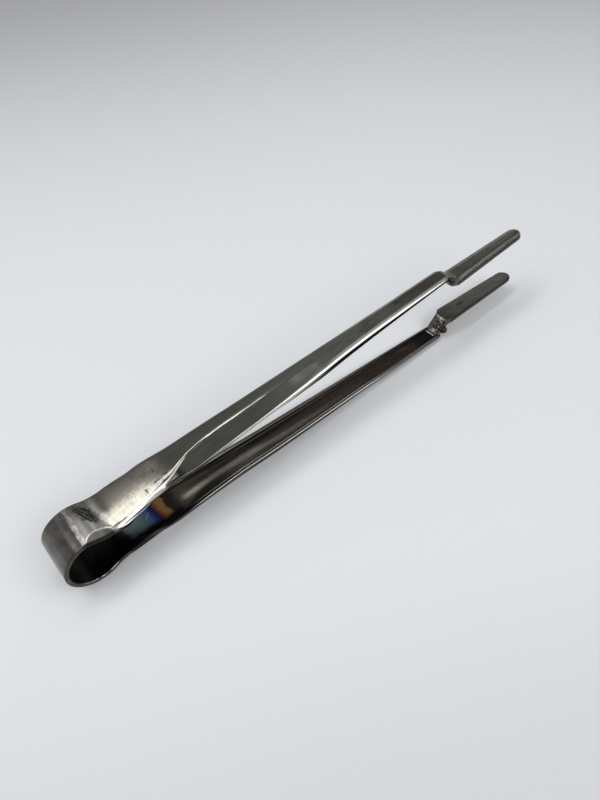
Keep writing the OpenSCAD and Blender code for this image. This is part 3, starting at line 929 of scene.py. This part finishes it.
def flange_faces(w, at, steel):
    """The flanges are darker, with painted shade on the far shoulder, the lower near shoulder and under the
    upper near shoulder, and a painted highlight on the upper near shoulder and the top of its flange.
    """
    # painted shade on the far shoulder
    far = w.times(w.band(at.turned, 0.08, 0.3), w.band(at.across, 1, 2.5), 0.75)
    steel = w.paint(steel, far, FAR_SHOULDER_SHADE)
    # painted highlight on the upper arm's near shoulder, painted shade on the lower arm's, which faces its
    # contact shadow
    shoulder = w.times(at.near, w.band(at.turned, 0.12, 0.28), w.band(at.along, 60, 90))
    steel = w.paint(steel, w.times(shoulder, at.upper, 0.8), NEAR_SHOULDER_HIGHLIGHT)
    steel = w.paint(steel, w.times(shoulder, at.lower), LOWER_SHOULDER_SHADE)
    darker_flange = w.blend(w.band(at.along, 45, 70), FLANGE_YOUNG, FLANGE_OLD)
    # painted highlight: the top of the upper arm's near flange, as if it reflected the pale table
    highlight_mask = w.times(w.band(at.turned, 1.3, 1.0), w.stretch(at.along, (24, 44), (104, 80)))
    darker_flange = w.paint(darker_flange, w.times(at.near, at.upper, highlight_mask), FLANGE_TOP_HIGHLIGHT)
    steel = w.paint(steel, w.band(at.turned, 0.60, 0.80), darker_flange)
    # painted shade under the upper arm's near shoulder
    shade_under = w.times(w.band(at.turned, 0.50, 0.62), w.band(at.along, 85, 105))
    steel = w.paint(steel, w.times(at.near, at.upper, shade_under), SHADE_UNDER_SHOULDER)
    start = w.times(w.band(at.turned, 0.22, 0.42), w.stretch(at.along, (20, 25), (56, 34)))
    return w.paint(steel, w.times(start, 0.85), FLANGE_START)


def web_stains(w, at, steel):
    """Brown and olive stains on the upper arm's web, and a darker end on both."""
    stained = at.grains(0.09, 0.3, 51.0, 5.0, 0.65)
    web = w.times(w.band(at.turned, 0.2, 0.06), w.band(at.along, 70, 130), at.upper)
    steel = w.paint(steel, w.times(web, w.band(stained, 0.46, 0.62, 0, 0.7)), BROWN_STAIN)
    steel = w.paint(steel, w.times(web, w.band(stained, 0.42, 0.32, 0, 0.5)), OLIVE_STAIN)
    end = w.times(w.band(at.turned, 0.3, 0.1), w.band(at.along, 125, 168, 0, 0.75))
    return w.paint(steel, end, ARM_END)


def inner_scale(w, at):
    """Dark scale inside the arms, with a pale lane, a dark lane and rusty and olive patches, painted shade
    near the arm's end and painted light on the far flange.
    """
    at_neck = w.band(at.along, 62, 44)
    scale = w.blend(at_neck, SCALE, SCALE_AT_NECK)
    ragged = w.about(at.streaks, 5.0)
    lane = w.size(w.less(w.add(at.across, ragged), w.line(at.along, LANE_PATH, -3.0, 1.0)))
    lane = w.times(w.band(lane, 1.9, 0.4), w.stretch(at.along, (26, 31), (140, 80)))
    scale = w.paint(scale, lane, w.blend(at_neck, LANE, LANE_AT_NECK))
    dark_lane = w.size(w.add(w.less(at.across, 2.9), ragged))
    dark_lane = w.times(w.band(dark_lane, 1.7, 0.4), w.stretch(at.along, (30, 37), (115, 62)))
    scale = w.paint(scale, w.times(dark_lane, 0.9), DARK_LANE)
    scale = w.paint(scale, w.band(at.streaks, 0.4, 0.66, 0, 0.4), SCALE_STREAKS)
    scale = w.paint(scale, w.band(at.along, 90, 165, 0, 0.7), SCALE_END)
    patches = at.grains(0.22, 0.45, 41.0, 5.0, 0.7)
    patched = w.stretch(at.along, (75, 105), (168, 150))
    scale = w.paint(scale, w.times(patched, w.band(patches, 0.48, 0.62, 0, 0.75)), RUST_PATCH)
    scale = w.paint(scale, w.times(patched, w.band(patches, 0.44, 0.34, 0, 0.6)), OLIVE_PATCH)
    # painted shade: black near the arm's end, under the upper arm
    scale = w.paint(scale, w.band(at.along, 156, 166, 0, 0.9), NEAR_BLACK)
    # painted light: the far flange's inner face is lightened where it would reflect the dark upper arm
    far_flange = w.times(w.band(at.turned, 0.5, 0.9), at.far, w.band(at.along, 120, 90))
    return w.paint(scale, w.times(far_flange, 0.8), LIT_FAR_INNER_FLANGE)


def heat_colours(w, at):
    """Heat colours past the neck, from teal and blue to straw, with painted shade towards the near edge."""
    node = w.node("ShaderNodeValToRGB")
    place = w.add(at.along, w.about(at.mottle, 5.0), w.times(at.across, 0.10))
    w.feed(node.inputs["Fac"], w.math("DIVIDE", place, HEAT_RUN, clamp=True))
    stops = node.color_ramp
    stops.interpolation = "EASE"
    while len(stops.elements) < len(HEAT):
        stops.elements.new(0.5)
    for element, (s, colour) in zip(stops.elements, HEAT):
        element.position = s / HEAT_RUN
        element.color = (*colour, 1)
    glint = at.spot((13.0, 1.2), (2.8, 0.42), 0.95, 0.9, 15.0)
    tints = w.paint(node.outputs["Color"], w.times(glint, 0.5), HEAT_GLINT)
    # painted shade: the inner web next to the near flange is blacked out as if in its shadow
    near_edge_shade = w.add(at.across, w.times(at.along, -0.05), w.about(at.mottle, 3.0))
    return w.paint(tints, w.band(near_edge_shade, -3.0, -5.2), NEAR_BLACK)


def cut_edges(w, at, colour):
    """The cut edges: a little rusty at the bow, dark along the arms, paler at the lower arm's far edge, with
    a painted highlight on the lower arm's near edge and on its bow rim.
    """
    edge = w.stretch(at.inside, (0.05, 0.34), (0.95, 0.66))
    # painted highlight along the lower arm's near cut edge, where its rounded corner catches the light
    highlight_mask = w.times(at.lower, at.near, w.band(at.along, 26, 36))
    steel = w.paint(EDGE_DARK, highlight_mask, w.blend(w.band(at.along, 118, 142), LOWER_EDGE_HIGHLIGHT, EDGE_END))
    bare = w.times(at.lower, at.far, w.band(at.along, 150, 80))
    steel = w.paint(steel, bare, w.blend(w.band(at.streaks, 0.35, 0.6), FAR_EDGE_DARK, FAR_EDGE_PALE))
    colour = w.paint(colour, w.times(edge, w.band(at.along, -1, 2)), steel)
    bow = w.blend(w.band(at.rust, 0.42, 0.6), BOW_EDGE_DARK, BOW_EDGE_PALE)
    # painted highlight on the inner corner of the lower bow's edge
    rim_highlight = w.times(w.band(at.inside, 0.55, 0.63), at.lower, w.stretch(at.along, (-20, -15), (-2, -5)))
    bow = w.paint(bow, w.times(rim_highlight, w.band(at.rust, 0.35, 0.55)), BOW_RIM_HIGHLIGHT)
    bow = w.paint(bow, w.times(w.band(at.along, -13, -10), at.upper), BOW_EDGE_BLACK)
    return w.paint(colour, w.times(edge, w.band(at.along, 2, -1)), bow)


def scratches(w, at):
    """A mask of the upper strip's scratches behind the neck, and chipped and hatched spots past it."""
    straight, slant = SCRATCH_LEAN
    across_run = w.less(w.times(at.along, slant), w.times(at.across, straight))
    along_run = w.add(w.times(at.along, straight), w.times(at.across, slant))
    strokes = w.speckle(w.place(w.times(across_run, 0.22), w.times(along_run, 2.6), 3.0), 1.0, 4.0, 0.7)
    marks = at.spot((-4.7, 2.4), (3.3, 7.4), 0.5, 1.3, 1.0)
    marks = w.times(marks, w.band(strokes, 0.39, 0.48, 0.25, 1.0))
    chipped = w.band(at.grains(1.5, 2.6, 12.0, 4.0, 0.7), 0.42, 0.5)
    hatched = w.band(at.grains(2.3, 0.35, 7.0, 2.0), 0.52, 0.58)
    for spots, ragged, texture in ((CHIPS, 1.4, chipped), (HATCHES, 0.8, hatched)):
        for place, size, seed, share in spots:
            spot = at.spot(place, size, 0.0, ragged, seed)
            marks = w.math("MAXIMUM", marks, w.times(spot, texture, share))
    return w.times(marks, w.band(at.inside, 0.3, 0.05), at.upper)


def spring_steel():
    made, w = shader("ground_spring_steel")
    at = StripPlaces(w)
    steel = ground_face(w, at)
    for finish in (bow_face, turned_in_edge, step_face, flange_faces, web_stains):
        steel = finish(w, at, steel)
    inner = w.blend(w.band(at.along, 24, 29), heat_colours(w, at), inner_scale(w, at))
    inner_side = w.band(at.inside, 0.3, 0.7)
    colour = cut_edges(w, at, w.blend(inner_side, steel, inner))
    marks = scratches(w, at)
    colour = w.paint(colour, w.times(marks, 0.96), SCRATCH)
    neck = w.stretch(at.along, (0, 5), (30, 20))
    step_highlight_start = w.times(at.step_highlight, w.band(at.along, 5, 2))
    rough = 0.11
    for mask, more in ((at.mottle, 0.05), (neck, 0.10), (at.hollow, 0.12), (step_highlight_start, 0.2),
                       (at.bow, 0.10), (marks, 0.25), (inner_side, 0.10)):
        rough = w.add(rough, w.times(mask, more))
    w.surface(colour, rough, bump=(0.12, 0.03 * MM, at.fine))
    return made


def blade_steel():
    made, w = shader("dark_forged_steel")
    at = Places(w)
    colour = w.blend(w.band(at.streaks, 0.3, 0.7), FORGED_DARK, FORGED_PALE)
    rust = at.grains(0.16, 0.35, 31.0, 4.0, 0.6)
    colour = w.paint(colour, w.band(rust, 0.45, 0.65, 0, 0.75), FORGED_BROWN)
    colour = w.paint(colour, w.band(rust, 0.40, 0.30, 0, 0.6), FORGED_BLACK)
    # painted highlight along the near shoulder of the back, and painted shade on the side below it
    inset = w.add(at.across, BLADE_W / 2, w.times(w.less(at.along, SHOULDER_X), BLADE_LEAN))
    shoulder_highlight = w.size(w.add(w.less(inset, HIGHLIGHT_IN), w.about(at.mottle, 1.2)))
    shoulder_highlight = w.times(w.band(shoulder_highlight, 0.85, 0.25), w.band(at.along, 189, 198), w.less(1.0, at.inside))
    colour = w.paint(colour, w.times(shoulder_highlight, 0.85), BLADE_SHOULDER_HIGHLIGHT)
    colour = w.paint(colour, w.band(inset, 0.45, 0.15, 0, 0.8), BLADE_SIDE_SHADE)
    colour = w.paint(colour, w.times(at.inside, 0.3), WORKING_FACE)
    spot = at.spot((204.0, 0.3), (3.4, 1.2), 0.0, 1.2, 17.0)
    heel = w.math("MAXIMUM", w.band(at.along, 203, 190, 0, 0.5), spot)
    colour = w.paint(colour, w.times(at.inside, heel, 0.75), BLADE_HEEL)
    rough = w.add(0.20, w.times(at.mottle, 0.14))
    w.surface(colour, rough, bump=(0.2, 0.05 * MM, at.mottle))
    return made


def weld_spots(w, scale, detail):
    return w.speckle(w.node("ShaderNodeTexCoord").outputs["Object"], scale, detail)


def weld_steel():
    made, w = shader("rippled_weld_metal")
    spots = weld_spots(w, 900.0, 3.0)
    # pale spots: the weld metal's mottling, brightened in part as painted glints
    colour = w.blend(w.band(spots, 0.4, 0.7), WELD_DARK, WELD_PALE_AND_GLINT)
    w.surface(colour, w.add(0.12, w.times(spots, 0.16)), bump=(0.15, 0.1 * MM, spots))
    return made


def bead_steel():
    made, w = shader("glossy_weld_bead")
    colour = w.blend(w.band(weld_spots(w, 1200.0, 2.0), 0.4, 0.65), BEAD_DARK, BEAD_PALE)
    w.surface(colour, 0.12, metallic=0.6)
    return made


SPRING, FORGED, WELD, BEAD = spring_steel(), blade_steel(), weld_steel(), bead_steel()
ROOT_PIECES = ((blade, "blade", FORGED, "forged_steel"), (end_weld, "end_weld", FORGED, "weld_metal"),
               (root_weld, "root_weld", WELD, "weld_metal"), (side_weld, "side_weld", BEAD, "weld_metal"))
BLEND_HALF = 6.0


def strip_place(s, place):
    x, z = path_point(s)[:2]
    return place((x, 0, z))


for side, place, crown in (("upper", place_upper, UPPER_CROWN), ("lower", place_lower, 0)):
    jaw = side + "_jaw"
    strip = strip_half(side + "_strip", place, crown)
    strip.data.materials.append(SPRING)
    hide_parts(side + "_arm", "spring_bow")
    neck, clear = strip_place(-BLEND_HALF, place), strip_place(BLEND_HALF, place)
    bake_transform(strip, "bow", jaw, start=(neck.x, 0, neck.z), end=(clear.x, 0, neck.z))
    for make, word, steel, slot in ROOT_PIECES:
        piece = make(side + "_" + word + "_shown", place)
        piece.data.materials.append(steel)
        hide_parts(side + "_" + word)
        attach(piece, jaw)

# Table, light and camera, in metres; a light is (name, azimuth, elevation, distance, size, level)
TABLE_SIZE = 6.0
TOOL_MIDDLE = (0.0, 0.0, 0.015)
LIGHTS = [("window_panel", -17, 65, 0.85, (0.62, 0.15), 4.1),
          ("near_panel", 164, 43, 1.0, (1.05, 0.55), 2.3),
          ("left_panel", -67, 53, 1.0, (0.6, 0.6), 2.7),
          ("right_panel", 88, 58, 1.2, (0.6, 0.5), 0.45),
          ("low_panel", 50, 26, 1.2, (0.62, 0.38), 1.0)]
# The viewpoint, as solved from the outline in the photograph, in the lower arm's frame and millimetres
VIEW_AZIMUTH, VIEW_ELEVATION, VIEW_ROLL = -37.666, 48.23, -4.30
VIEW_LOOK, VIEW_DISTANCE = Vector((109.204, -0.874, 0)), 243.763
FOCAL_PX, PICTURE_PX = 589.95, 800
SENSOR_MM = 36


def table_top():
    bm = bmesh.new()
    bmesh.ops.create_grid(bm, x_segments=1, y_segments=1, size=TABLE_SIZE)
    top = finished("table", bm)
    made, w = shader("pale_table")
    parts = w.node("ShaderNodeSeparateXYZ")
    w.feed(parts.inputs[0], w.node("ShaderNodeTexCoord").outputs["Object"])
    x, y = parts.outputs[:2]
    # painted light falloff: the table is darker away from the tool and towards the camera
    colour = w.blend(w.band(w.add(y, w.times(x, 0.35)), 0.10, 0.8), TABLE_PALE, TABLE_SHADED_AWAY)
    near = w.less(w.times(x, -0.6), y)
    colour = w.paint(colour, w.band(near, 0.08, 0.19), TABLE_SHADED_NEAR)
    w.surface(colour, 0.6, metallic=0.0)
    top.data.materials.append(made)


def panel(name, azimuth, elevation, distance, size, level):
    """A soft panel that faces the tool; azimuth runs from +Y to +X, level is its face's brightness."""
    light = bpy.data.lights.new(name, "AREA")
    light.shape = "RECTANGLE"
    light.size, light.size_y = size
    light.energy = level * math.pi * size[0] * size[1]
    lamp = bpy.data.objects.new(name, light)
    out = Vector((cos(elevation) * sin(azimuth), cos(elevation) * cos(azimuth), sin(elevation)))
    lamp.location = Vector(TOOL_MIDDLE) + distance * out
    lamp.rotation_euler = (-out).to_track_quat("-Z", "Y").to_euler()
    bpy.context.scene.collection.objects.link(lamp)


def room():
    world = bpy.data.worlds.new("grey_room")
    bpy.context.scene.world = world
    world.use_nodes = True
    world.node_tree.nodes.clear()
    w = Wires(world.node_tree)
    parts = w.node("ShaderNodeSeparateXYZ")
    w.feed(parts.inputs[0], w.node("ShaderNodeTexCoord").outputs["Generated"])
    colour = w.blend(w.band(parts.outputs[2], 0.22, 0.62), WALLS, CEILING)
    sky = w.node("ShaderNodeBackground", {"Color": colour, "Strength": 1.0})
    out = w.node("ShaderNodeOutputWorld")
    w.feed(out.inputs["Surface"], sky.outputs[0])


def camera():
    """The photograph's viewpoint: 244 mm away, looking down 48 degrees over the bow's near side."""
    back = Vector((sin(VIEW_AZIMUTH) * cos(VIEW_ELEVATION), -cos(VIEW_AZIMUTH) * cos(VIEW_ELEVATION),
                   sin(VIEW_ELEVATION)))
    right = (-back).cross(Vector((0, 0, 1))).normalized()
    up = right.cross(-back)
    c, s = cos(VIEW_ROLL), sin(VIEW_ROLL)
    right, up = c * right + s * up, -s * right + c * up
    turn = Matrix.Rotation(-rad(SPLAY), 3, "Y")
    at = turn @ (VIEW_LOOK + back * VIEW_DISTANCE - Vector((BOW_R, 0, 0)))
    data = bpy.data.cameras.new("camera")
    data.sensor_width = SENSOR_MM
    data.lens = FOCAL_PX / PICTURE_PX * SENSOR_MM
    data.clip_start, data.clip_end = 0.01, 50
    eye = bpy.data.objects.new("camera", data)
    m = Matrix((turn @ right, turn @ up, turn @ back)).transposed().to_4x4()
    m.translation = (at + Vector((-CENTRE_X, 0, BOW_R))) * MM
    eye.matrix_world = m
    bpy.context.scene.collection.objects.link(eye)
    bpy.context.scene.camera = eye


table_top()
room()
for light in LIGHTS:
    panel(*light)
camera()
bpy.context.scene.view_settings.view_transform = "Standard"
